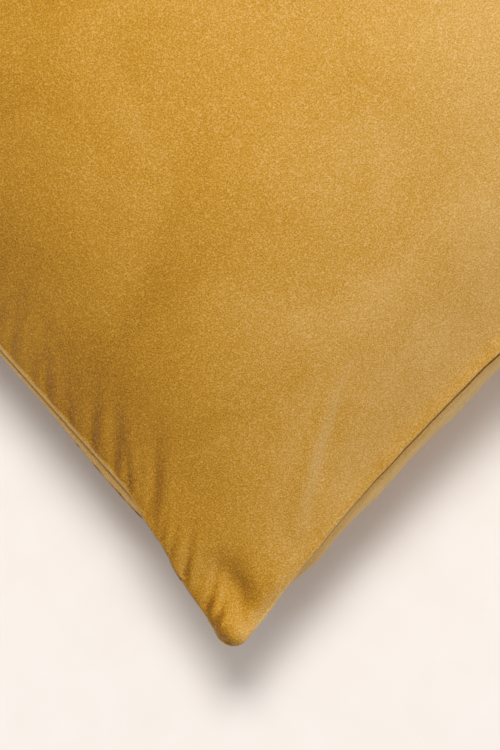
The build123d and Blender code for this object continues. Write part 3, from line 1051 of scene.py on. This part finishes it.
WEAVE = weave_group()
print("inputs of the weave:", [i.name for i in WEAVE.interface.items_tree if i.in_out == "INPUT"])

# %% Cloth, metal and nylon
def cloth_finish(name, dark, light, thread_mm, rough, sheen, skew=0.0, depth_mm=0.12):
    m, t, shader = new_material(name)
    weave = placed(t, WEAVE, Thread_mm=thread_mm, Skew=skew)
    patch = placed(t, PATCHY_TONE_AND_PAINTED_SHADE, Patch_mm=25.0)
    tone = plus(t, times(t, weave.outputs["Tone"], 0.3), plus(t, patch.outputs["Patch"], 0.5))
    t.links.new(ramp(t, tone, [(0.0, dark), (1.0, light)]), shader.inputs["Base Color"])
    put(shader, Roughness=rough, Sheen_Weight=sheen)
    bump(t, shader, weave.outputs["Height"], depth_mm, 0.8)
    return m


def worn_metal(name, dark, light, rough):
    m, t, shader = new_material(name)
    brushed = node(t, "ShaderNodeTexNoise", Scale=1.0, Detail=3.0)
    stretch = node(t, "ShaderNodeMapping", Scale=(120.0, 2600.0, 900.0))
    t.links.new(t.nodes.new("ShaderNodeTexCoord").outputs["Object"], stretch.inputs["Vector"])
    t.links.new(stretch.outputs[0], brushed.inputs["Vector"])
    t.links.new(ramp(t, brushed.outputs[0], [(0.3, dark), (0.7, light)]), shader.inputs["Base Color"])
    put(shader, Metallic=1.0)
    uneven = plus(t, times(t, brushed.outputs[0], 0.2), rough)
    t.links.new(uneven, shader.inputs["Roughness"])
    bump(t, shader, brushed.outputs[0], 0.03, 0.5)
    return m


def smooth_nylon(name, dark, light):
    m, t, shader = new_material(name)
    mottled = placed(t, PATCHY_TONE_AND_PAINTED_SHADE, Patch_mm=3.0)
    tone = plus(t, mottled.outputs["Patch"], 0.5)
    t.links.new(ramp(t, tone, [(0.2, dark), (0.8, light)]), shader.inputs["Base Color"])
    put(shader, Roughness=0.35, Coat_Weight=0.2)
    fine = placed(t, GRAIN, Size_mm=0.4)
    bump(t, shader, fine.outputs["Height"], 0.02, 0.5)
    return m


print("finishes: cloth_finish, worn_metal, smooth_nylon")

# %% The pieces' own materials
THREAD = cloth_finish("sewing_thread", (150, 100, 24), (206, 156, 66), 0.45, 0.55, 0.25, skew=0.8)
TAPE = cloth_finish("zip_tape_weave", (150, 104, 34), (190, 140, 60), 0.55, 0.8, 0.1, skew=0.6)
COIL = smooth_nylon("zip_coil_nylon", (160, 112, 38), (196, 146, 64))
METAL = worn_metal("zip_metal_brushed", (178, 150, 92), (224, 200, 142), 0.25)
SATIN = cloth_finish("label_satin", (226, 220, 208), (244, 240, 232), 0.3, 0.4, 0.3,
                     skew=0.2, depth_mm=0.05)
CASING = cloth_finish("casing_cotton", (222, 217, 206), (243, 240, 233), 0.7, 0.9, 0.15)
CASING_THREAD = cloth_finish("casing_thread_cotton", (214, 208, 196), (240, 236, 228),
                             0.4, 0.7, 0.1, skew=0.7)
print("finishes:", [m.name for m in bpy.data.materials])

# %% Make the insert and the threads
insert, insert_seam, insert_out = build_insert(CASING)
on_cover(insert, "casing", "insert_casing_front", "insert_casing_back", "insert_filling")


def insert_stitches():
    """The casing's own seam: short stitches all round its edge, standing also for its closed-up
    stretch.
    """
    per = len(insert_seam)
    at = np.linspace(0, per, per * 3, endpoint=False)
    path, out = (
        np.column_stack([np.interp(at, np.arange(per), loop[:, c], period=per) for c in range(3)])
        for loop in (insert_seam, insert_out))
    path = path + out * (0.15 + 0.2 * (np.arange(len(path)) % 3 > 0))[:, None]
    return joined("insert_stitches", [tube(path, 0.22, closed=True)], CASING_THREAD)


EDGE_MIDDLE = 5.85      # height of the middle of a zip-side allowance and its tape
EDGE_HALF = 0.95        # half their thickness together
threads = [
    (lockstitch("seam_needle_stitches", FRONT, THREAD), "thread", "seam_needle_thread"),
    (lockstitch("seam_bobbin_stitches", BACK, THREAD), "thread", "seam_bobbin_thread"),
    (overlock("overlock_plain_sides", THREAD, False, 0.0, CLOTH), "thread", "allowance_overlock"),
    (overlock("overlock_zip_front", THREAD, True, EDGE_MIDDLE, EDGE_HALF), "thread",
     "zip_front_overlock"),
    (overlock("overlock_zip_back", THREAD, True, -EDGE_MIDDLE, EDGE_HALF), "thread",
     "zip_back_overlock"),
    (insert_stitches(), "casing_thread", "insert_seam_thread", "insert_closing_stitch"),
]
for thread in threads:
    on_cover(*thread)
print("threads:", {t[0].name: len(t[0].data.vertices) for t in threads})

# %% Give the zip and the label their finishes
FINISHES = {
    "zip_tape_front": TAPE, "zip_tape_back": TAPE, "zip_coil_front": COIL, "zip_coil_back": COIL,
    "zip_stitching_front": THREAD, "zip_stitching_back": THREAD, "zip_top_stops": METAL,
    "zip_bottom_stop": METAL, "zip_slider": METAL, "zip_pull": METAL, "care_label": SATIN,
}
for name, finish in FINISHES.items():
    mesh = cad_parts[name].data
    mesh.materials.clear()
    mesh.materials.append(finish)
print("finished:", len(FINISHES), "frame pieces")

# %% [markdown]
# ## Camera
# The camera looks straight down at one corner, which points at the lower edge of the view. It
# could be near with a wide lens, but that would bend the sides apart, so it stands well back
# with a long lens, chosen so that a known length at the seam's height fills the view.

# %% Place the camera
TIP = 306.4 / math.sqrt(2)      # the tip, along each axis
LEAN = math.radians(3.2)        # how far the view is turned from the corner's own diagonal
TO_MIDDLE = np.array([-1, 1]) / math.sqrt(2)
TO_RIGHT = np.array([1, 1]) / math.sqrt(2)
view_up = math.cos(LEAN) * TO_MIDDLE - math.sin(LEAN) * TO_RIGHT
view_right = math.sin(LEAN) * TO_MIDDLE + math.cos(LEAN) * TO_RIGHT
VIEW_HEIGHT, VIEW_FIELD = 1600.0, 375.0     # the camera's height, and what the view's height takes in
TIP_TO_VIEW = (9.0, 135.0)      # from the tip to the middle of the view, right and up
SENSOR = 36
looked_at = np.array([TIP, -TIP]) + TIP_TO_VIEW[0] * view_right + TIP_TO_VIEW[1] * view_up

camera = bpy.data.objects.new("camera", bpy.data.cameras.new("camera"))
bpy.context.scene.collection.objects.link(camera)
axes = Matrix.Identity(4)
for row in range(2):
    axes[row][0], axes[row][1] = view_right[row], view_up[row]
axes.translation = Vector((looked_at[0] * MM, looked_at[1] * MM, VIEW_HEIGHT * MM))
camera.matrix_world = axes
camera.data.sensor_fit = "VERTICAL"
camera.data.sensor_height = SENSOR
camera.data.lens = SENSOR * (VIEW_HEIGHT - SEAM_Z) / VIEW_FIELD
bpy.context.scene.camera = camera
print("camera over", looked_at.round(1))

# %% [markdown]
# ## Table and light
# The pillow lies on a plain pale table. Velvet needs a light that comes from one side, so that
# its pile shows, and soft enough to leave blurred shadows. Several lamps could do that, but one
# large lamp beyond the far corner and an even pale sky are simpler and leave one clear shadow.

# %% Build the table
def floor_material():
    m, t, shader = new_material("pale_table")
    noise = node(t, "ShaderNodeTexNoise", Scale=900.0, Detail=2.0)
    colour = ramp(t, noise.outputs[0], [(0.3, (250, 242, 235)), (0.7, (252, 245, 239))])
    t.links.new(colour, shader.inputs["Base Color"])
    put(shader, Roughness=0.95, Specular_IOR_Level=0.05)
    return m


FLOOR_HALF, FLOOR_Z = 12000.0, -0.2
floor_points = [(x * FLOOR_HALF, y * FLOOR_HALF, FLOOR_Z) for y in (-1, 1) for x in (-1, 1)]
floor = make_piece("table_top", floor_points, [(0, 1, 3, 2)], floor_material())
print("table:", 2 * FLOOR_HALF * MM, "m wide")

# %% Build the lights
def area_light(name, toward, height, distance, size, power):
    """A lamp of size metres that looks at the near corner from height and distance metres away."""
    data = bpy.data.lights.new(name, "AREA")
    data.shape, data.size, data.size_y = "RECTANGLE", size[0], size[1]
    data.energy = power
    lamp = bpy.data.objects.new(name, data)
    bpy.context.scene.collection.objects.link(lamp)
    aim = Vector((0.10, -0.10, 0.03))
    place = aim + Vector((toward[0] * distance, toward[1] * distance, height))
    lamp.location = place
    lamp.rotation_euler = (aim - place).to_track_quat("-Z", "Y").to_euler()
    return lamp


key = area_light("key", view_up - view_right * 0.06, height=2.45, distance=1.45, size=(1.3, 0.9),
                 power=60)
world = bpy.data.worlds.new("sky")
bpy.context.scene.world = world
world.use_nodes = True
sky = world.node_tree.nodes["Background"].inputs
sky["Color"].default_value = (1.0, 0.985, 0.97, 1)
sky["Strength"].default_value = 0.46
bpy.context.scene.view_settings.view_transform = "Standard"
print("key lamp at", [round(c, 2) for c in key.location])
